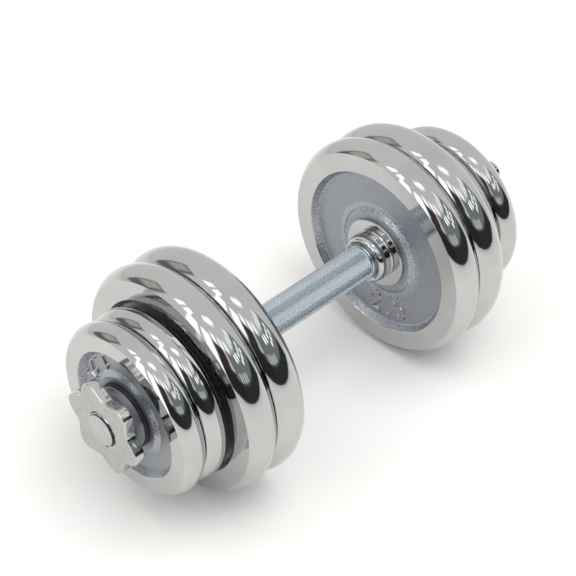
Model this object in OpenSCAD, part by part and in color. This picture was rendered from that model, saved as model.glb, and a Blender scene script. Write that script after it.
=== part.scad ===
// Adjustable dumbbell: a threaded steel bar with a knurled grip, two inner
// collars pinned to it, four cast iron plates on each end, and a star collar
// with a rubber ring that screws up against each stack.
// The bar lies along X and the origin is at its centre. Z is up.
// Every plate's marked face looks toward -X.

/* [Bar] */
// Overall length of the bar
bar_len = 362; // [350:1:400]
// Diameter of the plain shank and the thread's crest
shank_d = 24.4; // [24:0.1:24.8]
// Chamfer on each end of the bar
end_chamfer = 0.8; // [0.5:0.1:2]
// Length of the knurled grip
grip_len = 113; // [90:1:114]
// Diameter over the knurl
grip_d = 25; // [24.9:0.1:26]
// Chamfer on each end of the knurl
grip_chamfer = 0.8; // [0.2:0.1:1]

/* [Thread] */
// Advance of a star collar in one turn
thread_pitch = 5; // [4:0.5:6]
// Depth of the thread's groove
thread_depth = 1; // [0.5:0.1:1.5]
// Width of the groove at the crest
thread_groove_w = 2.6; // [1.5:0.1:3]
// Length of the thread on each end of the bar
thread_len = 80; // [60:1:100]

/* [Inner collars] */
// Distance from the bar's centre to a collar's outer face
stop_x = 72.65; // [70:0.05:76]
// Diameter of the flange that the plates bear on
flange_d = 53; // [48:0.5:58]
// Thickness of the flange
flange_t = 2.5; // [2:0.1:4]
// Diameter of the collar's body
stop_body_d = 37; // [34:0.5:42]
// Length of the body between the domed nose and the flange
stop_body_len = 4; // [3:0.1:6]
// Length of the domed nose
nose_len = 6.2; // [3:0.1:7]
// Diameter of the nose's mouth
nose_mouth_d = 31; // [27:0.1:33]
// Diameter of the roll pin through each collar
pin_d = 5; // [4:0.5:6]
// Depth of the pin's hole, from the surface of the collar's body
pin_len = 14; // [12:0.5:16]

/* [Plates] */
// Diameter of the bore of every plate
bore_d = 26; // [25.4:0.1:28]
// Depth of the hub's front face below the ring's plane
hub_sink = 2.5; // [1:0.1:3]
// Width of the slope at the edge of a recess
recess_slope = 3.3; // [2:0.1:5]
// Width of the slope around the hub
hub_slope = 4; // [2:0.1:6]

/* [Big plate] */
// Overall diameter
big_d = 167.3; // [160:0.1:175]
// Diameter of the flat ring's outer edge
big_ring_d = 156; // [150:0.5:158]
// Diameter of the recess at the ring's plane
big_recess_d = 128.4; // [110:0.1:132]
// Thickness of the rim
big_t = 23.9; // [20:0.1:24.2]
// Length of the hub, which is the distance from plate to plate
big_pitch = 24.55; // [24:0.05:26]
// Depth of the marked face's recess
big_recess_depth = 5.4; // [4:0.1:6]
// Depth of the back's recess
big_back_depth = 9.9; // [6:0.1:10]
// Diameter of the hub's face
big_hub_d = 62; // [54:0.5:66]

/* [Small plate] */
// Overall diameter
small_d = 126.5; // [120:0.1:135]
// Diameter of the flat ring's outer edge
small_ring_d = 117.4; // [112:0.1:119]
// Diameter of the recess at the ring's plane
small_recess_d = 93.8; // [80:0.1:98]
// Thickness of the rim
small_t = 18.2; // [15:0.1:18.5]
// Length of the hub, which is the distance from plate to plate
small_pitch = 18.9; // [18:0.05:20]
// Depth of the marked face's recess
small_recess_depth = 4.4; // [3.5:0.1:5]
// Depth of the back's recess
small_back_depth = 5.7; // [3:0.1:6]
// Diameter of the hub's face
small_hub_d = 55; // [50:0.5:60]

/* [Marks] */
// Height of a numeral
mark_h = 14; // [10:0.5:16]
// Width of a numeral
mark_w = 8.4; // [7:0.1:10]
// Width of a numeral's stroke
mark_stroke = 2.4; // [1.6:0.1:3]
// Height that a numeral stands above the recess
mark_relief = 1.4; // [0.5:0.1:2]
// Angle from one numeral to the next
mark_step = 14; // [13:1:20]
// Size of the big plate's numerals, where 1 is the height and width above
big_mark_scale = 1.3; // [0.8:0.05:1.4]
// Size of the small plate's numerals, where 1 is the height and width above
small_mark_scale = 0.75; // [0.6:0.05:0.8]

/* [Star collars] */
// Thickness of the lobed part
star_t = 7.8; // [6:0.1:10]
// Diameter over the lobes
star_d = 68.6; // [66:0.2:76]
// Diameter across the valleys between the lobes
star_valley_d = 54; // [50:0.2:58]
// Length of the round body behind the lobes
star_body_len = 9.85; // [8:0.05:12]
// Diameter of the round body
star_body_d = 44.8; // [42:0.2:48]
// Diameter of the hole that runs on the bar's thread
star_bore_d = 25; // [24.9:0.1:25.4]
// Diameter of the hole's chamfer at the star's face
star_mouth_d = 27.4; // [26:0.1:29]
// Angle of the left star's first lobe
left_star_turn = 39; // [0:1:59]
// Angle of the right star's first lobe
right_star_turn = 30; // [0:1:59]

/* [Rubber rings] */
// Thickness between the plate and the star collar
rubber_t = 2.8; // [2:0.1:4]
// Outer diameter
rubber_d = 47; // [45:0.5:50]
// Inner diameter
rubber_hole_d = 28; // [26:0.5:30]
// Depth of the lip that sits in the star collar's groove
lip_len = 1.5; // [1:0.1:2]

/* [Hidden] */

$fn = 96;
cut = 1;                                    // how far a cutter passes a face
lobes = 6;                                  // lobes on a star collar
lobe_steps = 16;                            // outline points for each lobe
lip_r = [16, 19];                           // inner and outer radius of the lip
lip_gap = 0.3;                              // clearance around the lip
stack_end = stop_x + 2 * big_pitch + 2 * small_pitch;
star_back = stack_end + rubber_t;           // where a star collar's body starts
star_face = star_back + star_body_len + star_t;
groove_w = 1.6;                             // groove in front of the flange
nose_x = stop_x - flange_t - groove_w - stop_body_len - nose_len;
pin_land = 0.3;                             // metal between the groove and a pin's hole
pin_x = stop_x - flange_t - groove_w - pin_land - pin_d / 2;
pin_turn = 135;                             // pin's angle from straight up
zinc = [0.72, 0.76, 0.79];
chrome = [0.80, 0.80, 0.78];
black = [0.06, 0.06, 0.06];

// Turns a shape built around Z to lie around X.
module along_x() {
    rotate([90, 0, 90]) children();
}

// Turns a flat shape to face -X, with its top toward +Z.
module facing_back() {
    rotate([90, 0, -90]) children();
}

// Mirrors a shape from the right end to the left one.
module at_left() {
    mirror([1, 0, 0]) children();
}

// ---------- bar ----------

module thread_grooves() {
    steps = floor(thread_len / thread_pitch);
    rotate_extrude()
        for (i = [1:steps])
            translate([shank_d / 2, bar_len / 2 - end_chamfer - (i - 0.5) * thread_pitch])
                polygon([
                    [cut, -thread_groove_w], [cut, thread_groove_w],
                    [-thread_depth, thread_groove_w / 4], [-thread_depth, -thread_groove_w / 4]
                ]);
}

module chamfered_rod(d, len, chamfer) {
    rotate_extrude()
        polygon([
            [0, -len / 2], [d / 2 - chamfer, -len / 2], [d / 2, -len / 2 + chamfer],
            [d / 2, len / 2 - chamfer], [d / 2 - chamfer, len / 2], [0, len / 2]
        ]);
}

module bar() {
    color(zinc)
    difference() {
        along_x() union() {
            chamfered_rod(shank_d, bar_len, end_chamfer);
            chamfered_rod(grip_d, grip_len, grip_chamfer);
        }
        along_x() thread_grooves();
        at_left() along_x() thread_grooves();
        pin_hole();
        at_left() pin_hole();
    }
}

// ---------- inner collars ----------

// The hole for a roll pin, drilled from the collar's surface into the bar.
module pin_hole() {
    translate([pin_x, 0, 0])
        rotate([pin_turn, 0, 0])
            translate([0, 0, stop_body_d / 2 - pin_len])
                cylinder(d = pin_d, h = pin_len + cut);
}

module inner_collar() {
    mouth = nose_mouth_d / 2;
    body = stop_body_d / 2;
    nose_end = nose_x + nose_len;
    groove_x = stop_x - flange_t - groove_w;
    dome = [
        for (a = [0:15:90])
            [mouth + (body - mouth) * sin(a), nose_end - nose_len * cos(a)]
    ];
    color(chrome)
    difference() {
        along_x() rotate_extrude()
            polygon(concat(
                [[shank_d / 2, nose_x + mouth - shank_d / 2]],
                dome,
                [
                    [body, groove_x], [body - 1, groove_x + groove_w / 2],
                    [body, stop_x - flange_t], [flange_d / 2 - 0.6, stop_x - flange_t],
                    [flange_d / 2, stop_x - flange_t + 0.6], [flange_d / 2, stop_x],
                    [shank_d / 2, stop_x]
                ]
            ));
        pin_hole();
    }
}

module left_inner_collar() {
    at_left() inner_collar();
}

module right_inner_collar() {
    inner_collar();
}

// A rolled spring pin, slit along its length and a little shorter than its hole.
module collar_pin() {
    wall = 0.9;
    slit = 0.8;
    color("silver")
    translate([pin_x, 0, 0])
        rotate([pin_turn, 0, 0])
            translate([0, 0, stop_body_d / 2 - pin_len])
                difference() {
                    cylinder(d = pin_d, h = pin_len - 0.4);
                    translate([0, 0, -cut]) cylinder(d = pin_d - 2 * wall, h = pin_len + 2 * cut);
                    translate([0, -slit / 2, -cut]) cube([pin_d, slit, pin_len + 2 * cut]);
                }
}

module left_collar_pin() {
    at_left() collar_pin();
}

module right_collar_pin() {
    collar_pin();
}

// ---------- numerals ----------

module dot_mark() {
    translate([(mark_w - mark_stroke) / 2, 0]) square(mark_stroke);
}

module one_mark() {
    x = (mark_w - mark_stroke) / 2;
    translate([x, 0]) square([mark_stroke, mark_h]);
    polygon([
        [x + mark_stroke, mark_h], [x, mark_h],
        [x - mark_stroke, mark_h - 1.5 * mark_stroke], [x, mark_h - 2 * mark_stroke]
    ]);
}

module two_mark() {
    r = mark_w / 2;
    intersection() {
        translate([r, mark_h - r]) difference() {
            circle(r = r);
            circle(r = r - mark_stroke);
        }
        translate([0, mark_h - r]) square([mark_w, r]);
    }
    polygon([
        [mark_w - mark_stroke, mark_h - r], [mark_w, mark_h - r],
        [1.5 * mark_stroke, mark_stroke], [0, mark_stroke]
    ]);
    square([mark_w, mark_stroke]);
}

module five_mark() {
    r = mark_w / 2;
    bowl = 2 * r - mark_stroke;
    difference() {
        translate([r, r]) circle(r = r);
        translate([r, r]) circle(r = r - mark_stroke);
        translate([-cut, r]) square([r + cut, r + cut]);
    }
    translate([0, bowl]) square([r, mark_stroke]);
    translate([0, bowl]) square([mark_stroke, mark_h - bowl]);
    translate([0, mark_h - mark_stroke]) square([mark_w, mark_stroke]);
}

module numeral(sign) {
    if (sign == "1") one_mark();
    if (sign == "2") two_mark();
    if (sign == "5") five_mark();
    if (sign == ".") dot_mark();
}

// Raised numerals in an arc of radius r, with their tops toward the hub.
// The first stands at angle turn from straight down, and the rest follow mark_step apart.
module numerals(signs, r, turn, size) {
    facing_back()
        linear_extrude(mark_relief + cut)
            for (i = [0:len(signs) - 1])
                rotate(turn + i * mark_step)
                    translate([0, -r])
                        scale(size)
                            translate([-mark_w / 2, -mark_h / 2])
                                numeral(signs[i]);
}

// ---------- plates ----------

// A plate with its ring's plane at x = 0 and its back toward +X.
// sizes: [overall d, ring d, recess d, rim thickness, hub length, front depth, back depth,
// hub d, numerals' scale]
module plate(sizes, signs, turn) {
    rim = sizes[0] / 2;
    ring = sizes[1] / 2;
    recess = sizes[2] / 2;
    t = sizes[3];
    hub_back = hub_sink + sizes[4];
    floor_x = sizes[5];
    back_x = t - sizes[6];
    hub = sizes[7] / 2;
    bulge = rim - ring;
    arc = (t * t / 4 + bulge * bulge) / (2 * bulge);
    along_x() rotate_extrude() union() {
        intersection() {
            translate([rim - arc, t / 2]) circle(r = arc);
            translate([rim - arc, 0]) square([arc + cut, t]);
        }
        polygon([
            [bore_d / 2, hub_sink], [hub, hub_sink],
            [hub + hub_slope, floor_x], [recess - recess_slope, floor_x],
            [recess, 0], [rim - arc + cut, 0], [rim - arc + cut, t],
            [recess, t], [recess - recess_slope, back_x],
            [hub + hub_slope, back_x], [hub, hub_back], [bore_d / 2, hub_back]
        ]);
    }
    translate([floor_x + cut, 0, 0])
        numerals(signs, (hub + hub_slope + recess - recess_slope) / 2, turn, sizes[8]);
}

module big_plate(hub_x, turn) {
    color(chrome)
    translate([hub_x - hub_sink, 0, 0])
        plate(
            [big_d, big_ring_d, big_recess_d, big_t, big_pitch,
             big_recess_depth, big_back_depth, big_hub_d, big_mark_scale],
            ["2", ".", "5"], turn
        );
}

module small_plate(hub_x, turn) {
    color(chrome)
    translate([hub_x - hub_sink, 0, 0])
        plate(
            [small_d, small_ring_d, small_recess_d, small_t, small_pitch,
             small_recess_depth, small_back_depth, small_hub_d, small_mark_scale],
            ["1", ".", "2", "5"], turn
        );
}

module left_inner_big_plate() {
    big_plate(-stop_x - big_pitch, 110);
}

module left_outer_big_plate() {
    big_plate(-stop_x - 2 * big_pitch, -70);
}

module left_inner_small_plate() {
    small_plate(-stack_end + small_pitch, 40);
}

module left_outer_small_plate() {
    small_plate(-stack_end, -147);
}

module right_inner_big_plate() {
    big_plate(stop_x, -2);
}

module right_outer_big_plate() {
    big_plate(stop_x + big_pitch, 75);
}

module right_inner_small_plate() {
    small_plate(stop_x + 2 * big_pitch, 200);
}

module right_outer_small_plate() {
    small_plate(stack_end - small_pitch, -30);
}

// ---------- star collars and their rubber rings ----------

function lobe_r(a) =
    (star_d + star_valley_d + (star_d - star_valley_d) * cos(lobes * a)) / 4;

module star_outline() {
    step = 360 / (lobes * lobe_steps);
    polygon([
        for (i = [0:lobes * lobe_steps - 1])
            lobe_r(i * step) * [cos(i * step), sin(i * step)]
    ]);
}

module star_collar(turn) {
    color(chrome)
    along_x() difference() {
        union() {
            translate([0, 0, star_back]) cylinder(d = star_body_d, h = star_body_len + cut);
            translate([0, 0, star_face - star_t])
                rotate(90 + turn) linear_extrude(star_t) star_outline();
        }
        translate([0, 0, star_back - cut]) cylinder(d = star_bore_d, h = star_face);
        rotate_extrude()
            polygon([
                [star_bore_d / 2 - cut, star_face + cut],
                [star_mouth_d / 2 + cut, star_face + cut],
                [star_bore_d / 2 - cut, star_face - (star_mouth_d - star_bore_d) / 2 - cut]
            ]);
        translate([0, 0, star_back - cut])
            difference() {
                cylinder(r = lip_r[1] + lip_gap, h = cut + lip_len + lip_gap);
                translate([0, 0, -cut])
                    cylinder(r = lip_r[0] - lip_gap, h = 3 * cut + lip_len + lip_gap);
            }
    }
}

module left_star_collar() {
    at_left() star_collar(left_star_turn);
}

module right_star_collar() {
    star_collar(right_star_turn);
}

module rubber_ring() {
    outer = rubber_d / 2;
    inner = rubber_hole_d / 2;
    color(black)
    along_x() rotate_extrude()
        polygon([
            [inner, stack_end], [outer - 0.5, stack_end], [outer, stack_end + 0.5],
            [outer, star_back - 0.5], [outer - 0.5, star_back],
            [lip_r[1], star_back], [lip_r[1], star_back + lip_len],
            [lip_r[0], star_back + lip_len], [lip_r[0], star_back],
            [inner, star_back]
        ]);
}

module left_rubber_ring() {
    at_left() rubber_ring();
}

module right_rubber_ring() {
    rubber_ring();
}

bar();
left_inner_collar();
right_inner_collar();
left_collar_pin();
right_collar_pin();
left_inner_big_plate();
left_outer_big_plate();
left_inner_small_plate();
left_outer_small_plate();
right_inner_big_plate();
right_outer_big_plate();
right_inner_small_plate();
right_outer_small_plate();
left_rubber_ring();
right_rubber_ring();
left_star_collar();
right_star_collar();
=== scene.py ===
"""The looks of the adjustable dumbbell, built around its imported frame.

The bar lies along X with its centre at the origin, and Z is up. Lengths are in metres.
Every turned piece is a grid of rows along X and columns around X, so a knurl, a thread, a
lobed outline or a raised numeral is only a change of radius or of x at the grid's points.
"""

import math

import bmesh
import bpy
import numpy as np
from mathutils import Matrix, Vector

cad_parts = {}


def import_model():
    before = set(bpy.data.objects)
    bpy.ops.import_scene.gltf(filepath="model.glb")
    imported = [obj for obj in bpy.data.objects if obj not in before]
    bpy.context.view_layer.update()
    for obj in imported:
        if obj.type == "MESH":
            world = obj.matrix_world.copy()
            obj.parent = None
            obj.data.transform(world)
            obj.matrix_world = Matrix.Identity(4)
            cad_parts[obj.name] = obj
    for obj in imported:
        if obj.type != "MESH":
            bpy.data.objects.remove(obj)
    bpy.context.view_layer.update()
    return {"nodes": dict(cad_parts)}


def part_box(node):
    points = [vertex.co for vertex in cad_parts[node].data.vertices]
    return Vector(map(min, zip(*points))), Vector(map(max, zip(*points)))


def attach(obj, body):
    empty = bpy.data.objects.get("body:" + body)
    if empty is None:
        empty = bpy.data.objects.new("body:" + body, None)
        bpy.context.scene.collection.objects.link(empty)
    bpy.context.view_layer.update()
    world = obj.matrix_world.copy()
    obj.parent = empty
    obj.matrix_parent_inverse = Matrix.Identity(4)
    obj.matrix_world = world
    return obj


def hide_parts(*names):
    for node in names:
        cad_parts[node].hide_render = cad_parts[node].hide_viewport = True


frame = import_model()

MM = 0.001
TURN = 2 * math.pi
SIDES = {"left": -1, "right": 1}

# ---------- sizes that the frame doesn't hold ----------

# bar
SHANK_R = 12.2 * MM
GRIP_R = 12.5 * MM
GRIP_LEN = 113 * MM
KNURL_DEPTH = 0.5 * MM
KNURL_AROUND = 44
KNURL_ROW = 0.9 * MM
KNURL_MARGIN = 1.2 * MM
UNDERCUT_R = 11.7 * MM
END_CHAMFER = 0.8 * MM
END_FACE_RIM = 0.3 * MM
# how deep in the thread the near-black grease and painted shade begins
GREASE_AND_SHADE_DEPTH = 0.35 * MM
THREAD_PITCH = 5 * MM
THREAD_DEPTH = 1.0 * MM
THREAD_LEN = 80 * MM
THREAD_ROWS = 11
THREAD_ROOT = 0.3
THREAD_FLANK = 0.4

# inner collars, and the holes drilled in them for their roll pins
STOP_BODY_R = 18.5 * MM
STOP_BODY_LEN = 4 * MM
STOP_BORE_R = 12.22 * MM
STOP_FLANGE_T = 2.5 * MM
STOP_GROOVE = 1.6 * MM
STOP_GROOVE_DEPTH = 1.0 * MM
STOP_NOSE_LEN = 6.2 * MM
STOP_MOUTH_R = 15.5 * MM
STOP_SCRIBED = 0.2 * MM
PIN_HOLE_R = 2.52 * MM
DRILL_LEN = 16 * MM
DRILL_MIDDLE = 18 * MM

# plates: the rim's bulge, the flat ring's width, the front and back recesses' depths, the
# rim's thickness, the hub's radius and the scale of the numerals
HUB_SINK = 2.5 * MM
BORE_R = 13 * MM
RECESS_SLOPE = 3.3 * MM
HUB_SLOPE = 4 * MM
BIG = dict(
    bulge=5.65 * MM, ring=13.8 * MM, front=5.4 * MM, back=9.9 * MM,
    rim=23.9 * MM, hub=31 * MM, mark=1.3,
)
SMALL = dict(
    bulge=4.55 * MM, ring=11.8 * MM, front=4.4 * MM, back=5.7 * MM,
    rim=18.2 * MM, hub=27.5 * MM, mark=0.75,
)
PLATE_COLUMNS = 216
RIM_STEPS = 30
HUB_ROUND = 0.9 * MM
HUB_EDGE = 1.0 * MM
SLOPE_ROUND = 2.5 * MM
WALL_ROUND = 2.2 * MM
WALL_PLATING = 0.3 * MM
RECESS_ROUND = 0.3 * MM
LIP_ROUND = 0.6 * MM

# numerals: MARK_STEP, MARK_MARGIN and MARK_COLUMN are degrees round the plate
MARK_H = 14 * MM
MARK_STROKE = 2.4 * MM
MARK_RELIEF = 1.4 * MM
MARK_BEVEL = 0.9 * MM
MARK_GRID = 0.36 * MM
MARK_STEP = 14
MARK_MARGIN = 12
MARK_COLUMN = 0.5

# rubber rings, whose lip stands in a groove in the back of the star collar
RING_T = 2.8 * MM
RING_BORE_R = 14 * MM
RING_LIP = 1.5 * MM
LIP_R = (16 * MM, 19 * MM)
LIP_GROOVE_R = (15.7 * MM, 19.3 * MM)
LIP_GROOVE_DEPTH = 1.8 * MM

# star collars
LOBES = 6
LOBE_COLUMNS = 44
STAR_T = 7.8 * MM
STAR_R = 34.3 * MM
STAR_VALLEY_R = 27 * MM
STAR_EDGE = 1.1 * MM
STAR_BODY_R = 22.4 * MM
STAR_FLARE = 1.5 * MM
STAR_MOUTH_R = 13.7 * MM
STAR_MOUTH_DEPTH = 1.3 * MM
STAR_BACK_R = 13.2 * MM
STAR_BACK_DEPTH = 1.2 * MM
NUT_CLEARANCE = 0.18 * MM
STAR_TURN = {"left": 39, "right": 30}

# places of the materials on a plate, the bar and a star collar
CHROME, ENAMEL, CASTING, WORN = range(4)
ZINC, CUT_STEEL, GREASE_AND_SHADE = range(3)
STAR_SIDE, STAR_FACE = range(2)

# a face slopes when its normal's x is under this
EDGE_SLOPE = 0.93
# the most of an edge that one fillet may take up
FILLET_SHARE = 0.49


# ---------- mesh building ----------

def even_angles(count):
    return np.arange(count) * TURN / count


def smooth_step(share):
    """Eases a share from 0 to 1 with no corner at either end."""
    return share * share * (3 - 2 * share)


def rounded(corners, steps=5):
    """A polyline through corners (x, r, fillet radius), each corner turned into an arc."""
    points = []
    for i, (x, r, fillet) in enumerate(corners):
        here = np.array([x, r])
        if fillet == 0 or i in (0, len(corners) - 1):
            points.append(here)
            continue
        back = np.array(corners[i - 1][:2]) - here
        ahead = np.array(corners[i + 1][:2]) - here
        back_len, ahead_len = np.linalg.norm(back), np.linalg.norm(ahead)
        back, ahead = back / back_len, ahead / ahead_len
        half = math.acos(np.clip(back @ ahead, -1, 1)) / 2
        reach = min(fillet / math.tan(half), FILLET_SHARE * back_len, FILLET_SHARE * ahead_len)
        start, end = here + back * reach, here + ahead * reach
        centre = here + (back + ahead) / np.linalg.norm(back + ahead) * reach / math.cos(half)
        radius = np.linalg.norm(start - centre)
        for k in range(steps + 1):
            middle = start + (end - start) * k / steps - centre
            points.append(centre + middle / np.linalg.norm(middle) * radius)
    return [(float(p[0]), float(p[1])) for p in points]


def turned(name, rows, angles, ring=True, split=None, row_material=None):
    """A mesh of rows (x, r) along X, each a number or one number per angle.

    With ring the last row joins the first; otherwise both ends are closed by a flat face.
    split(row, column, quad) may divide a quad, and row_material holds a material index for
    the strip that follows each row.
    """
    columns = len(angles)
    cos, sin = np.cos(angles), np.sin(angles)
    points = [
        np.stack([np.broadcast_to(x, columns), r * cos, r * sin], axis=1) for x, r in rows
    ]
    last = len(rows) if ring else len(rows) - 1
    faces, row_of = [], []
    for i in range(last):
        a, b = i * columns, (i + 1) % len(rows) * columns
        for k in range(columns):
            n = (k + 1) % columns
            quad = (a + k, a + n, b + n, b + k)
            found = split(i, k, quad) if split else [quad]
            faces += found
            row_of += [i] * len(found)
    if not ring:
        end = (len(rows) - 1) * columns
        faces += [tuple(range(columns)), tuple(range(end, end + columns))]
        row_of += [0, len(rows) - 2]
    mesh = bpy.data.meshes.new(name)
    mesh.from_pydata(np.concatenate(points).tolist(), [], faces)
    if row_material:
        mesh.polygons.foreach_set("material_index", [row_material[i] for i in row_of])
    bm = bmesh.new()
    bm.from_mesh(mesh)
    bmesh.ops.recalc_face_normals(bm, faces=bm.faces)
    bm.to_mesh(mesh)
    bm.free()
    piece = bpy.data.objects.new(name, mesh)
    bpy.context.scene.collection.objects.link(piece)
    return piece, row_of


def finish_piece(piece, body, node, materials, sharp_angle=35):
    """Shades a piece smooth between its sharp edges and ties it to the CAD model."""
    mesh = piece.data
    for material in materials:
        mesh.materials.append(material)
    mesh.shade_smooth()
    mesh.set_sharp_from_angle(angle=math.radians(sharp_angle))
    weighted = piece.modifiers.new("weighted normals", "WEIGHTED_NORMAL")
    weighted.keep_sharp = True
    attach(piece, body)
    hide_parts(node)


# ---------- materials ----------

def material(name, base, metallic, roughness):
    made = bpy.data.materials.new(name)
    made.use_nodes = True
    shader = made.node_tree.nodes["Principled BSDF"]
    shader.inputs["Base Color"].default_value = (*base, 1)
    shader.inputs["Metallic"].default_value = metallic
    shader.inputs["Roughness"].default_value = roughness
    return made, made.node_tree, shader


def noise(tree, scale, detail=4.0, stretch=(1, 1, 1)):
    nodes, links = tree.nodes, tree.links
    place = nodes.new("ShaderNodeTexCoord")
    fit = nodes.new("ShaderNodeMapping")
    fit.inputs["Scale"].default_value = stretch
    texture = nodes.new("ShaderNodeTexNoise")
    texture.inputs["Scale"].default_value = scale
    texture.inputs["Detail"].default_value = detail
    links.new(place.outputs["Object"], fit.inputs["Vector"])
    links.new(fit.outputs["Vector"], texture.inputs["Vector"])
    return texture.outputs["Fac"]


def spread(tree, source, low, high, source_low=0.3, source_high=0.7):
    remap = tree.nodes.new("ShaderNodeMapRange")
    remap.inputs["From Min"].default_value = source_low
    remap.inputs["From Max"].default_value = source_high
    remap.inputs["To Min"].default_value = low
    remap.inputs["To Max"].default_value = high
    tree.links.new(source, remap.inputs["Value"])
    return remap.outputs["Result"]


def blend_colours(tree, source, low, high, source_low=0.35, source_high=0.65):
    ramp = tree.nodes.new("ShaderNodeValToRGB")
    ramp.color_ramp.elements[0].position = source_low
    ramp.color_ramp.elements[0].color = (*low, 1)
    ramp.color_ramp.elements[1].position = source_high
    ramp.color_ramp.elements[1].color = (*high, 1)
    tree.links.new(source, ramp.inputs["Fac"])
    return ramp.outputs["Color"]


def bump(tree, shader, heights):
    """Stacks bump nodes for heights, a list of (source, strength, distance)."""
    normal = None
    for source, strength, distance in heights:
        node = tree.nodes.new("ShaderNodeBump")
        node.inputs["Strength"].default_value = strength
        node.inputs["Distance"].default_value = distance
        tree.links.new(source, node.inputs["Height"])
        if normal:
            tree.links.new(normal, node.inputs["Normal"])
        normal = node.outputs["Normal"]
    tree.links.new(normal, shader.inputs["Normal"])


def chrome_material(name, waviness):
    """Bright chromium plating, with the faint waves of the polished iron under it."""
    made, tree, shader = material(name, (0.495, 0.5, 0.497), 1.0, 0.05)
    tree.links.new(spread(tree, noise(tree, 60, 5), 0.03, 0.075), shader.inputs["Roughness"])
    tree.links.new(
        blend_colours(tree, noise(tree, 30, 3), (0.475, 0.48, 0.477), (0.515, 0.52, 0.517)),
        shader.inputs["Base Color"],
    )
    bump(tree, shader, [
        (noise(tree, 28, 2), waviness, 0.0006),
        (noise(tree, 900, 2), 0.04, 0.0001),
    ])
    return made


def enamel_material():
    """Silver-grey enamel over the casting, smooth enough to shine a little."""
    made, tree, shader = material("silver_enamel", (0.315, 0.33, 0.36), 0.75, 0.42)
    tree.links.new(
        blend_colours(tree, noise(tree, 500, 6), (0.295, 0.31, 0.34), (0.335, 0.35, 0.38)),
        shader.inputs["Base Color"],
    )
    tree.links.new(spread(tree, noise(tree, 320, 4), 0.36, 0.46), shader.inputs["Roughness"])
    bump(tree, shader, [
        (noise(tree, 90, 2), 0.12, 0.0006),
        (noise(tree, 1100, 3), 0.35, 0.0002),
    ])
    return made


def casting_material():
    """The rough slopes of the casting, where thin enamel leaves the grains glinting."""
    made, tree, shader = material("rough_casting", (0.36, 0.385, 0.425), 0.85, 0.29)
    tree.links.new(
        blend_colours(tree, noise(tree, 600, 5), (0.3, 0.325, 0.365), (0.42, 0.445, 0.485)),
        shader.inputs["Base Color"],
    )
    tree.links.new(spread(tree, noise(tree, 400, 4), 0.2, 0.36), shader.inputs["Roughness"])
    bump(tree, shader, [
        (noise(tree, 450, 3), 0.5, 0.0008),
        (noise(tree, 1200, 3), 0.5, 0.0003),
    ])
    return made


def zinc_material():
    """Bright bluish zinc plating with a fine even grain."""
    made, tree, shader = material("bright_zinc", (0.56, 0.63, 0.675), 1.0, 0.28)
    grain = noise(tree, 900, 5)
    tree.links.new(
        blend_colours(tree, grain, (0.53, 0.6, 0.645), (0.59, 0.66, 0.705)),
        shader.inputs["Base Color"],
    )
    tree.links.new(spread(tree, grain, 0.24, 0.32), shader.inputs["Roughness"])
    bump(tree, shader, [(grain, 0.06, 0.0001)])
    return made


def satin_chrome_material():
    """Thin plating over a brushed face, duller than the polished plates."""
    made, tree, shader = material("satin_chrome", (0.42, 0.418, 0.41), 1.0, 0.24)
    tree.links.new(spread(tree, noise(tree, 200, 5), 0.18, 0.32), shader.inputs["Roughness"])
    tree.links.new(
        blend_colours(tree, noise(tree, 120, 5), (0.4, 0.398, 0.39), (0.44, 0.438, 0.43)),
        shader.inputs["Base Color"],
    )
    bump(tree, shader, [(noise(tree, 900, 3), 0.12, 0.0001)])
    return made


def grease_and_shade_material():
    """Old thread grease in the bottom of the thread, near black so that it also paints the shade deep
    in the groove.
    """
    made, tree, shader = material("thread_grease_and_shade", (0.02, 0.019, 0.018), 0.0, 0.4)
    tree.links.new(
        blend_colours(tree, noise(tree, 300, 4), (0.012, 0.012, 0.012), (0.035, 0.032, 0.03)),
        shader.inputs["Base Color"],
    )
    tree.links.new(spread(tree, noise(tree, 500, 3), 0.3, 0.55), shader.inputs["Roughness"])
    return made


def cut_steel_material():
    """The bar's turned end faces, with the faint rings that the tool left."""
    made, tree, shader = material("cut_steel", (0.46, 0.46, 0.455), 1.0, 0.28)
    tree.links.new(spread(tree, noise(tree, 400, 4), 0.22, 0.36), shader.inputs["Roughness"])
    rings = noise(tree, 60, 2, (0.2, 1, 1))
    tree.links.new(
        blend_colours(tree, rings, (0.43, 0.43, 0.425), (0.49, 0.49, 0.485)),
        shader.inputs["Base Color"],
    )
    bump(tree, shader, [(noise(tree, 1500, 2), 0.1, 0.0001)])
    return made


def rubber_material():
    made, tree, shader = material("black_rubber", (0.012, 0.012, 0.012), 0.0, 0.55)
    tree.links.new(
        blend_colours(tree, noise(tree, 140, 4), (0.010, 0.010, 0.010), (0.022, 0.021, 0.020)),
        shader.inputs["Base Color"],
    )
    tree.links.new(spread(tree, noise(tree, 300, 3), 0.45, 0.68), shader.inputs["Roughness"])
    bump(tree, shader, [(noise(tree, 1600, 3), 0.3, 0.0001)])
    return made


def spring_steel_material():
    made, tree, shader = material("spring_steel", (0.35, 0.35, 0.36), 1.0, 0.4)
    tree.links.new(spread(tree, noise(tree, 700, 3), 0.32, 0.5), shader.inputs["Roughness"])
    bump(tree, shader, [(noise(tree, 1800, 2), 0.15, 0.0001)])
    return made


chrome = chrome_material("plate_chrome", 0.4)
collar_chrome = chrome_material("collar_chrome", 0.2)
satin_chrome = satin_chrome_material()
enamel = enamel_material()
casting = casting_material()
zinc = zinc_material()
cut_steel = cut_steel_material()
grease_and_shade = grease_and_shade_material()
rubber = rubber_material()
spring_steel = spring_steel_material()


# ---------- plates ----------

def arc_points(centre, radius, start, end, steps):
    """Points of an arc, with its angles in degrees."""
    return [
        (centre[0] + radius * math.cos(math.radians(start + (end - start) * k / steps)),
         centre[1] + radius * math.sin(math.radians(start + (end - start) * k / steps)))
        for k in range(steps + 1)
    ]


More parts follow.
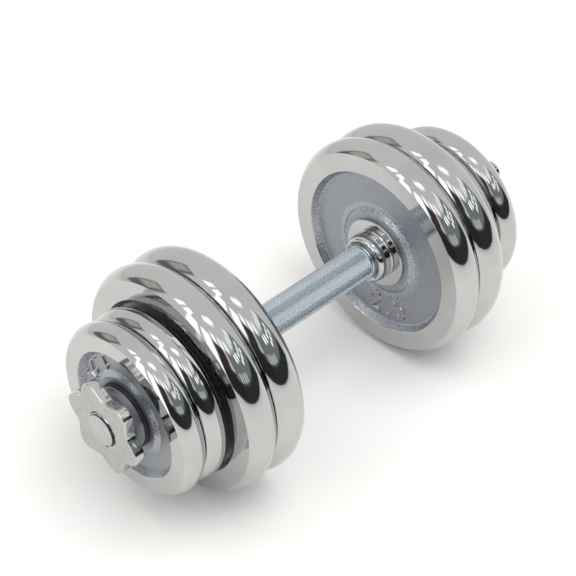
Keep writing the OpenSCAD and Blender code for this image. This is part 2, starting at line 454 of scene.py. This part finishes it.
# The strokes of each numeral in millimetres, from the middle of its box.
STROKES = {
    "1": [(-2.6, 3.4), (0, 5.8), (0, -5.8)],
    "2": arc_points((0, 2.8), 3.0, 175, -25, 8) + [(-3.0, -5.8), (3.0, -5.8)],
    "5": [(2.9, 5.8), (-2.6, 5.8), (-2.9, 0.7)] + arc_points((-0.1, -2.6), 3.2, 115, -145, 10),
    ".": [(0, -5.8), (0, -5.7)],
}


def distance_to_line(px, py, line):
    """How far the points are from a polyline."""
    best = np.full(px.shape, 1e9)
    for (x0, y0), (x1, y1) in zip(line, line[1:]):
        dx, dy = x1 - x0, y1 - y0
        along = np.clip(((px - x0) * dx + (py - y0) * dy) / (dx * dx + dy * dy), 0, 1)
        best = np.minimum(best, np.hypot(px - x0 - along * dx, py - y0 - along * dy))
    return best


def relief(y, z, signs, turn, middle_r, scale):
    """Height of the raised numerals at points of a marked face."""
    height = np.zeros(y.shape)
    for i, sign in enumerate(signs):
        a = math.radians(turn + i * MARK_STEP)
        across = (-y * math.cos(a) + z * math.sin(a)) / scale / MM
        up = (y * math.sin(a) + z * math.cos(a) + middle_r) / scale / MM
        from_edge = (MARK_STROKE / 2 - distance_to_line(across, up, STROKES[sign]) * MM) * scale
        inside = np.clip(from_edge / MARK_BEVEL + 0.5, 0, 1)
        height = np.maximum(height, MARK_RELIEF * smooth_step(inside))
    return height


def plate_angles(count_signs, turn):
    """Even columns, with finer ones where the numerals are."""
    down = 270 - turn
    first = math.radians(down + MARK_MARGIN)
    last = math.radians(down - (count_signs - 1) * MARK_STEP - MARK_MARGIN)
    fine = np.arange(last, first, math.radians(MARK_COLUMN)) % TURN
    too_near = 0.012
    away = [
        angle for angle in even_angles(PLATE_COLUMNS)
        if np.min(np.abs((fine - angle + math.pi) % TURN - math.pi)) > too_near
    ]
    return np.sort(np.concatenate([away, fine]))


def plate(node, size, signs, turn):
    low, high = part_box(node)
    front, hub_back, rim_r = low.x, high.x, high.z
    middle = front + size["rim"] / 2
    back = front + size["rim"]
    ring_r = rim_r - size["bulge"]
    recess_r = ring_r - size["ring"]
    wall_r = recess_r - RECESS_SLOPE
    slope_r = size["hub"] + HUB_SLOPE
    floor_x = front + size["front"]
    back_x = back - size["back"]
    middle_r = (slope_r + wall_r) / 2
    mark_reach = MARK_H * size["mark"] / 2 + MARK_BEVEL
    mark_low, mark_high = middle_r - mark_reach, middle_r + mark_reach
    angles = plate_angles(len(signs), turn)

    def wall_point(face_x, bottom_x):
        """The wall's upper end, where the plating of the flat ring begins."""
        share = WALL_PLATING / RECESS_SLOPE
        return face_x + (bottom_x - face_x) * share, recess_r - RECESS_SLOPE * share, 0

    hub_front = rounded([
        (middle, BORE_R, 0), (front + HUB_SINK, BORE_R, 0.8 * MM),
        (front + HUB_SINK, size["hub"], HUB_ROUND), (floor_x, slope_r, SLOPE_ROUND),
        (floor_x, mark_low, 0),
    ])
    hub_face = [row for row in hub_front if row[1] < size["hub"] - HUB_EDGE]
    hub_slope = [row for row in hub_front if row[1] >= size["hub"] - HUB_EDGE]
    marked = [(floor_x, r) for r in np.arange(mark_low + MARK_GRID, mark_high, MARK_GRID)]
    wall_front = rounded([
        (floor_x, mark_high, 0), (floor_x, wall_r, WALL_ROUND), wall_point(front, floor_x),
    ])[:-1]
    arc_r = ((size["rim"] / 2) ** 2 + size["bulge"] ** 2) / (2 * size["bulge"])
    sweep = math.degrees(math.asin(size["rim"] / 2 / arc_r))
    rim = arc_points((middle, rim_r - arc_r), arc_r, 90 + sweep, 90 - sweep, RIM_STEPS)[1:-1]
    front_lip = rounded([
        wall_point(front, floor_x), (front, recess_r, RECESS_ROUND),
        (front, ring_r, LIP_ROUND), (*rim[0], 0),
    ])[:-1]
    back_lip = rounded([
        (*rim[-1], 0), (back, ring_r, LIP_ROUND),
        (back, recess_r, RECESS_ROUND), wall_point(back, back_x),
    ])[1:]
    hub_back_rows = rounded([
        wall_point(back, back_x), (back_x, wall_r, WALL_ROUND), (back_x, slope_r, SLOPE_ROUND),
        (hub_back, size["hub"], HUB_ROUND), (hub_back, BORE_R, 0.8 * MM),
        (middle + 0.1 * MM, BORE_R, 0),
    ])[1:]
    cos, sin = np.cos(angles), np.sin(angles)
    marked = [(x - relief(r * cos, r * sin, signs, turn, middle_r, size["mark"]), r) for x, r in marked]
    sections = [
        (ENAMEL, hub_face), (CASTING, hub_slope), (ENAMEL, marked + wall_front[:2]),
        (CASTING, wall_front[2:]), (CHROME, front_lip + rim + back_lip), (ENAMEL, hub_back_rows),
    ]
    rows = [row for _, section in sections for row in section]
    row_material = [index for index, section in sections for _ in section]
    piece, row_of = turned(node + "_casting", rows, angles, row_material=row_material)
    first_marked = len(hub_front)
    marked_rows = range(first_marked, first_marked + len(marked))
    for face, row in zip(piece.data.polygons, row_of):
        if row in marked_rows and abs(face.normal.x) < EDGE_SLOPE:
            face.material_index = WORN
    finish_piece(piece, node, node, [chrome, enamel, casting, satin_chrome])


# each plate's size, numerals, and the angle of its first numeral from straight down
PLATES = {
    "left_inner_big_plate": (BIG, ["2", ".", "5"], 110),
    "left_outer_big_plate": (BIG, ["2", ".", "5"], -70),
    "left_inner_small_plate": (SMALL, ["1", ".", "2", "5"], 40),
    "left_outer_small_plate": (SMALL, ["1", ".", "2", "5"], -147),
    "right_inner_big_plate": (BIG, ["2", ".", "5"], -2),
    "right_outer_big_plate": (BIG, ["2", ".", "5"], 75),
    "right_inner_small_plate": (SMALL, ["1", ".", "2", "5"], 200),
    "right_outer_small_plate": (SMALL, ["1", ".", "2", "5"], -30),
}
for node, (size, signs, turn) in PLATES.items():
    plate(node, size, signs, turn)


# ---------- bar ----------

def thread_radius(x, angles, crest, depth):
    """Radius of a right-hand thread at x on either end of the bar."""
    side = math.copysign(1, x)
    share = (abs(x) / THREAD_PITCH - side * angles / TURN) % 1
    rise = np.clip((np.abs(share - 0.5) * 2 - THREAD_ROOT) / THREAD_FLANK, 0, 1)
    return crest - depth + depth * smooth_step(rise)


def bar_end(end, angles, side):
    """Rows from the grip's shoulder out to one end of the bar."""
    grip_end = GRIP_LEN / 2
    thread_start = end - THREAD_LEN
    shoulder = [
        (grip_end - 1.0 * MM, GRIP_R - 0.05 * MM), (grip_end - 0.35 * MM, GRIP_R - 0.5 * MM),
        (grip_end, UNDERCUT_R), (grip_end + 0.8 * MM, UNDERCUT_R),
        (grip_end + 1.3 * MM, SHANK_R), (grip_end + 20 * MM, SHANK_R),
        (thread_start - 1 * MM, SHANK_R),
    ]
    thread = []
    for x in np.arange(thread_start, end - END_CHAMFER, THREAD_PITCH / THREAD_ROWS):
        run_in = min(1.0, (x - thread_start) / THREAD_PITCH)
        thread.append((x, thread_radius(side * x, angles, SHANK_R, THREAD_DEPTH * run_in)))
    chamfer = []
    for share in np.linspace(0, 1, 5):
        x = end - END_CHAMFER * (1 - share)
        cut = thread_radius(side * x, angles, SHANK_R, THREAD_DEPTH)
        chamfer.append((x, np.minimum(cut, SHANK_R - END_CHAMFER * share)))
    rim_row = (end, chamfer[-1][1] - END_FACE_RIM)
    return [(side * x, r) for x, r in shoulder + thread + chamfer + [rim_row]]


def bar():
    """The bar, with its knurl's points high and low in turn like the squares of a chessboard."""
    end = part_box("bar")[1].x
    columns = 2 * KNURL_AROUND
    angles = even_angles(columns)
    knurl_end = GRIP_LEN / 2 - KNURL_MARGIN
    knurl_x = np.linspace(-knurl_end, knurl_end, int(round(2 * knurl_end / KNURL_ROW)))
    checks = np.arange(columns) % 2
    knurl = [(x, GRIP_R - KNURL_DEPTH * ((checks + i) % 2)) for i, x in enumerate(knurl_x)]
    left, right = bar_end(end, angles, -1)[::-1], bar_end(end, angles, 1)
    knurl_rows = range(len(left), len(left) + len(knurl) - 1)

    def split(i, k, quad):
        """Splits a knurl's quad along its groove, which joins its two low corners."""
        if i not in knurl_rows:
            return [quad]
        a, b, c, d = quad
        if (k + i - len(left)) % 2:
            return [(a, b, c), (a, c, d)]
        return [(a, b, d), (b, c, d)]

    rows = left + knurl + right
    row_material = [ZINC] * len(rows)
    row_material[0] = row_material[-2] = CUT_STEEL
    piece, row_of = turned("threaded_bar", rows, angles, False, split, row_material)
    finish_piece(piece, "handle", "bar", [zinc, cut_steel, grease_and_shade])
    piece.modifiers.clear()
    # The thread's roots get the near-black grease material, which also paints the shade in the groove.
    for face in piece.data.polygons:
        threaded = abs(face.center.x) > end - THREAD_LEN and abs(face.normal.x) < EDGE_SLOPE
        if threaded and face.center.yz.length < SHANK_R - GREASE_AND_SHADE_DEPTH:
            face.material_index = GREASE_AND_SHADE
    smooth = [i not in knurl_rows for i in row_of]
    piece.data.polygons.foreach_set("use_smooth", smooth)


bar()


# ---------- inner collars ----------

def inner_collar(side):
    node = side + "_inner_collar"
    low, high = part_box(node)
    sign = SIDES[side]
    face = high.x if sign > 0 else -low.x
    flange_r = high.z
    flange_x = face - STOP_FLANGE_T
    groove_x = flange_x - STOP_GROOVE
    nose_end = groove_x - STOP_BODY_LEN
    nose_x = nose_end - STOP_NOSE_LEN
    mouth_depth = STOP_MOUTH_R - SHANK_R
    nose = [
        (nose_end - STOP_NOSE_LEN * math.cos(math.radians(a)),
         STOP_MOUTH_R + (STOP_BODY_R - STOP_MOUTH_R) * math.sin(math.radians(a)))
        for a in range(6, 91, 6)
    ]
    barrel = rounded([
        (nose_end, STOP_BODY_R, 0), (nose_end + STOP_SCRIBED, STOP_BODY_R - STOP_SCRIBED, 0),
        (nose_end + 2 * STOP_SCRIBED, STOP_BODY_R, 0), (groove_x, STOP_BODY_R, 0.3 * MM),
        (flange_x - STOP_GROOVE / 2, STOP_BODY_R - STOP_GROOVE_DEPTH, 0.3 * MM),
        (flange_x, STOP_BODY_R, 0.3 * MM),
        (flange_x, flange_r, 0.8 * MM), (face, flange_r, 0.5 * MM),
        (face, STOP_BORE_R, 0.2 * MM), (face - 2 * MM, STOP_BORE_R, 0),
    ], 4)
    mouth = rounded([
        (nose_x + 8 * MM, STOP_BORE_R, 0), (nose_x + mouth_depth, STOP_BORE_R, 0),
        (nose_x, STOP_MOUTH_R, 0.3 * MM), (*nose[0], 0),
    ], 4)[:-1]
    rows = [(sign * x, r) for x, r in mouth + nose + barrel[1:]]
    piece, _ = turned(side + "_stop", rows, even_angles(160))
    drill_pin_hole(piece, side)
    finish_piece(piece, "handle", node, [collar_chrome])


def drill_pin_hole(piece, side):
    """Cuts the hole that the collar's roll pin stands in."""
    low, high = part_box(side + "_collar_pin")
    middle = (low + high) / 2
    outward = Vector((0, middle.y, middle.z)).normalized()
    drill_mesh = bpy.data.meshes.new("drill")
    bm = bmesh.new()
    bmesh.ops.create_cone(
        bm, cap_ends=True, segments=40,
        radius1=PIN_HOLE_R, radius2=PIN_HOLE_R, depth=DRILL_LEN,
    )
    bm.to_mesh(drill_mesh)
    bm.free()
    drill = bpy.data.objects.new("drill", drill_mesh)
    drill.rotation_mode = "QUATERNION"
    drill.rotation_quaternion = outward.to_track_quat("Z", "Y")
    drill.location = Vector((middle.x, 0, 0)) + outward * DRILL_MIDDLE
    bpy.context.scene.collection.objects.link(drill)
    bpy.context.view_layer.update()
    cutter = piece.modifiers.new("pin hole", "BOOLEAN")
    cutter.operation = "DIFFERENCE"
    cutter.object = drill
    cutter.solver = "EXACT"
    evaluated = piece.evaluated_get(bpy.context.evaluated_depsgraph_get())
    piece.data = bpy.data.meshes.new_from_object(evaluated)
    piece.modifiers.clear()
    bpy.data.objects.remove(drill)


for side in SIDES:
    inner_collar(side)
    pin = frame["nodes"][side + "_collar_pin"]
    pin.data.materials.clear()
    pin.data.materials.append(spring_steel)


# ---------- rubber rings and star collars ----------

def rubber_ring(side):
    node = side + "_rubber_ring"
    low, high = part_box(node)
    sign = SIDES[side]
    plate_face = min(abs(low.x), abs(high.x))
    inside = plate_face + RING_T / 2
    back = plate_face + RING_T
    outer = high.z
    rows = rounded([
        (inside, RING_BORE_R, 0), (plate_face, RING_BORE_R, 0.4 * MM),
        (plate_face, outer, 0.9 * MM), (back, outer, 0.9 * MM),
        (back, LIP_R[1], 0.1 * MM), (back + RING_LIP, LIP_R[1], 0.3 * MM),
        (back + RING_LIP, LIP_R[0], 0.3 * MM), (back, LIP_R[0], 0.1 * MM),
        (back, RING_BORE_R, 0.4 * MM), (inside + 0.1 * MM, RING_BORE_R, 0),
    ])
    piece, _ = turned(side + "_rubber", [(sign * x, r) for x, r in rows], even_angles(144))
    finish_piece(piece, node, node, [rubber])


def lobe_radius(angles, side):
    """Radius of the star's outline at angles about X."""
    from_lobe = angles - math.radians(90 + STAR_TURN[side])
    return (STAR_R + STAR_VALLEY_R + (STAR_R - STAR_VALLEY_R) * np.cos(LOBES * from_lobe)) / 2


def star_collar(side):
    node = side + "_star_collar"
    low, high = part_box(node)
    sign = SIDES[side]
    back = min(abs(low.x), abs(high.x))
    face = max(abs(low.x), abs(high.x))
    star_back = face - STAR_T
    angles = even_angles(LOBES * LOBE_COLUMNS)
    star = lobe_radius(angles, side)
    lip_inner, lip_outer = LIP_GROOVE_R
    rows = rounded([
        (back + 0.4 * MM, lip_outer, 0), (back, lip_outer, 0.1 * MM), (back, STAR_BODY_R, 0.6 * MM),
        (star_back - 1.2 * MM, STAR_BODY_R, 1.2 * MM), (star_back, STAR_BODY_R + STAR_FLARE, 0),
    ], 4)
    for a in np.radians(np.arange(0, 91, 18)):
        rows.append((star_back + STAR_EDGE * (1 - math.cos(a)), star - STAR_EDGE * (1 - math.sin(a))))
    for a in np.radians(np.arange(0, 91, 18)):
        rows.append((face - STAR_EDGE * (1 - math.sin(a)), star - STAR_EDGE * (1 - math.cos(a))))
    rows.append((face, star - STAR_EDGE - 0.8 * MM))
    rows.append((face, STAR_MOUTH_R + 1.2 * MM))
    rows += rounded([
        (face, STAR_MOUTH_R + 0.8 * MM, 0), (face, STAR_MOUTH_R, 0.25 * MM),
        (face - STAR_MOUTH_DEPTH, STAR_MOUTH_R - STAR_MOUTH_DEPTH, 0),
    ], 4)
    for x in np.arange(face - 1.6 * MM, back + 1.8 * MM, -THREAD_PITCH / THREAD_ROWS):
        nut = thread_radius(sign * x, angles, SHANK_R, THREAD_DEPTH) + NUT_CLEARANCE
        rows.append((x, nut))
    rows += [
        (back + STAR_BACK_DEPTH, SHANK_R + NUT_CLEARANCE), (back, STAR_BACK_R), (back, lip_inner),
        (back + LIP_GROOVE_DEPTH, lip_inner), (back + LIP_GROOVE_DEPTH, lip_outer),
    ]
    row_material = [STAR_FACE if x == face else STAR_SIDE for x, _ in rows]
    rows = [(sign * x, r) for x, r in rows]
    piece, _ = turned(side + "_star", rows, angles, row_material=row_material)
    finish_piece(piece, node, node, [collar_chrome, satin_chrome])


for side in SIDES:
    rubber_ring(side)
    star_collar(side)


# ---------- floor, light and camera ----------

FLOOR_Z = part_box("right_inner_big_plate")[0].z
AIM = Vector((-0.0054, 0.0100, 0.0070))
CAMERA_AZIMUTH = -44.0
CAMERA_ELEVATION = 41.5
CAMERA_DISTANCE = 1.2055
LENS = 109.25

# What stands round the object for the chrome to mirror. Each card: its azimuths and
# elevations in degrees, how many panes it has across and up, its distance in metres, its
# soft edge in degrees, its colour and its brightness.
CARDS = {
    "dark_wall": ((-70, 66), (-4, 27), (1, 1), 4.4, 4, (1.0, 1.05, 1.08), 0.045),
    "far_wall": ((-36, 66), (14, 50), (1, 1), 4.3, 7, (0.92, 1.0, 1.04), 0.30),
    "dark_corner": ((-68, -38), (18, 48), (1, 1), 4.1, 5, (1.15, 0.95, 0.95), 0.06),
    "low_dark_shelf": ((-64, -20), (0, 20), (1, 1), 4.2, 4, (1.0, 1.0, 1.0), 0.035),
    "back_door": ((-168, -133), (0, 44), (1, 1), 4.2, 7, (1.0, 1.0, 1.0), 0.2),
    "back_door_pane": ((-165, -139), (14, 41), (1, 1), 4.1, 7, (1.0, 0.98, 0.93), 0.62),
    "side_window": ((-108, -66), (-8, 50), (2, 1), 4.0, 3, (0.98, 0.98, 1.03), 2.6),
    "high_window": ((-134, -98), (46, 66), (2, 1), 4.0, 3, (1.0, 0.99, 1.03), 2.2),
    "front_window": ((-66, -6), (43, 61), (3, 1), 3.9, 6, (0.98, 1.0, 1.03), 2.1),
    "ceiling_light": ((-70, 40), (71, 86), (1, 1), 3.9, 6, (1.0, 1.0, 1.0), 2.2),
    "upper_window": ((10, 58), (46, 60), (3, 1), 3.9, 4.5, (0.93, 1.0, 1.04), 1.8),
    "left_panes": ((-6, 20), (35, 46), (2, 1), 3.9, 3.5, (0.95, 1.0, 1.03), 2.4),
    "right_panes": ((24, 56), (27, 42), (3, 2), 3.9, 1.5, (0.95, 1.0, 1.03), 2.0),
    "low_panes": ((-24, 14), (17, 28), (4, 1), 3.9, 2, (0.95, 1.0, 1.0), 0.9),
    "lamp": ((-44, -30), (24, 32), (1, 1), 3.9, 3, (1.0, 0.97, 0.97), 0.9),
}
PANE_SHARE = 0.82

# Each lamp: its azimuth and elevation in degrees, its distance, its width and height in
# metres, and its power in watts.
LAMPS = {
    "key": (20, 68, 2.4, (2.0, 1.6), 27),
    "fill": (-110, 50, 2.6, (1.8, 1.8), 12),
}
WORLD_COLOUR = (1.0, 0.99, 0.98)
WORLD_STRENGTH = 0.92


def direction(azimuth, elevation):
    a, e = math.radians(azimuth), math.radians(elevation)
    return Vector((math.sin(a) * math.cos(e), -math.cos(a) * math.cos(e), math.sin(e)))


def aimed(thing, azimuth, elevation, centre, distance):
    """Puts a lamp or camera at a distance from centre and turns it to look there."""
    back = direction(azimuth, elevation)
    thing.location = centre + back * distance
    thing.rotation_mode = "QUATERNION"
    thing.rotation_quaternion = back.to_track_quat("Z", "Y")
    bpy.context.scene.collection.objects.link(thing)


def floor():
    mesh = bpy.data.meshes.new("floor")
    reach = 30
    mesh.from_pydata(
        [(-reach, -reach, 0), (reach, -reach, 0), (reach, reach, 0), (-reach, reach, 0)],
        [], [(0, 1, 2, 3)],
    )
    ground = bpy.data.objects.new("floor", mesh)
    ground.location.z = FLOOR_Z
    bpy.context.scene.collection.objects.link(ground)
    made, tree, shader = material("pale_floor", (0.86, 0.85, 0.83), 0.0, 0.5)
    shader.inputs["Specular IOR Level"].default_value = 0.2
    tree.links.new(
        blend_colours(tree, noise(tree, 3.0, 3, (1, 4, 1)), (0.86, 0.853, 0.838), (0.88, 0.876, 0.864)),
        shader.inputs["Base Color"],
    )
    mesh.materials.append(made)


def glow_material(name, width, height, soft, colour, brightness):
    """Light that fades out over the card's soft edge."""
    made = bpy.data.materials.new(name)
    made.use_nodes = True
    tree = made.node_tree
    nodes, links = tree.nodes, tree.links
    nodes.clear()
    across = nodes.new("ShaderNodeSeparateXYZ")
    links.new(nodes.new("ShaderNodeTexCoord").outputs["UV"], across.inputs["Vector"])
    inside = []
    for axis, extent in (("X", width), ("Y", height)):
        from_middle = nodes.new("ShaderNodeMath")
        from_middle.operation = "SUBTRACT"
        from_middle.inputs[1].default_value = 0.5
        links.new(across.outputs[axis], from_middle.inputs[0])
        off = nodes.new("ShaderNodeMath")
        off.operation = "ABSOLUTE"
        links.new(from_middle.outputs[0], off.inputs[0])
        fade = nodes.new("ShaderNodeMapRange")
        fade.interpolation_type = "SMOOTHSTEP"
        fade.inputs["From Min"].default_value = 0.5
        fade.inputs["From Max"].default_value = 0.5 - soft / extent
        links.new(off.outputs[0], fade.inputs["Value"])
        inside.append(fade.outputs["Result"])
    both = nodes.new("ShaderNodeMath")
    both.operation = "MULTIPLY"
    for source, socket in zip(inside, both.inputs):
        links.new(source, socket)
    glow = nodes.new("ShaderNodeEmission")
    glow.inputs["Color"].default_value = (*colour, 1)
    glow.inputs["Strength"].default_value = brightness
    mix = nodes.new("ShaderNodeMixShader")
    links.new(both.outputs[0], mix.inputs["Fac"])
    links.new(nodes.new("ShaderNodeBsdfTransparent").outputs[0], mix.inputs[1])
    links.new(glow.outputs[0], mix.inputs[2])
    links.new(mix.outputs[0], nodes.new("ShaderNodeOutputMaterial").inputs["Surface"])
    return made


def card(name, azimuths, elevations, panes, distance, soft, colour, brightness):
    """Curved panes round the object, which only reflections see."""
    columns, rows = 12, 6
    across = (azimuths[1] - azimuths[0]) / panes[0]
    tall = (elevations[1] - elevations[0]) / panes[1]
    width = across * (PANE_SHARE if panes[0] > 1 else 1)
    height = tall * (PANE_SHARE if panes[1] > 1 else 1)
    points, faces, places = [], [], []
    for pane in range(panes[0] * panes[1]):
        left = azimuths[0] + across * (pane % panes[0]) + (across - width) / 2
        foot = elevations[0] + tall * (pane // panes[0]) + (tall - height) / 2
        first = len(points)
        for j in range(rows + 1):
            for i in range(columns + 1):
                place = direction(left + width * i / columns, foot + height * j / rows)
                points.append(place * distance)
                places.append((i / columns, j / rows))
        for j in range(rows):
            for i in range(columns):
                a = first + j * (columns + 1) + i
                faces.append((a, a + columns + 1, a + columns + 2, a + 1))
    mesh = bpy.data.meshes.new(name)
    mesh.from_pydata(points, [], faces)
    layer = mesh.uv_layers.new(name="place")
    for loop in mesh.loops:
        layer.data[loop.index].uv = places[loop.vertex_index]
    made = glow_material(name, width, height, soft, colour, brightness)
    made.cycles.emission_sampling = "NONE"
    mesh.materials.append(made)
    panel = bpy.data.objects.new(name, mesh)
    panel.visible_camera = panel.visible_shadow = panel.visible_diffuse = False
    bpy.context.scene.collection.objects.link(panel)


def light(name, azimuth, elevation, distance, size, power):
    """A softbox that lights the floor and the matt surfaces; the cards stand for it in chrome."""
    data = bpy.data.lights.new(name, "AREA")
    data.shape = "RECTANGLE"
    data.size, data.size_y = size
    data.energy = power
    lamp = bpy.data.objects.new(name, data)
    lamp.visible_glossy = False
    aimed(lamp, azimuth, elevation, Vector(), distance)


def world():
    made = bpy.data.worlds.new("studio")
    bpy.context.scene.world = made
    made.use_nodes = True
    background = made.node_tree.nodes["Background"]
    background.inputs["Color"].default_value = (*WORLD_COLOUR, 1)
    background.inputs["Strength"].default_value = WORLD_STRENGTH


def camera():
    data = bpy.data.cameras.new("camera")
    data.lens = LENS
    data.sensor_width = 36
    data.clip_end = 100
    seen_from = bpy.data.objects.new("camera", data)
    aimed(seen_from, CAMERA_AZIMUTH, CAMERA_ELEVATION, AIM, CAMERA_DISTANCE)
    bpy.context.scene.camera = seen_from


floor()
for name, values in CARDS.items():
    card(name, *values)
for name, values in LAMPS.items():
    light(name, *values)
world()
camera()
bpy.context.scene.view_settings.view_transform = "Standard"
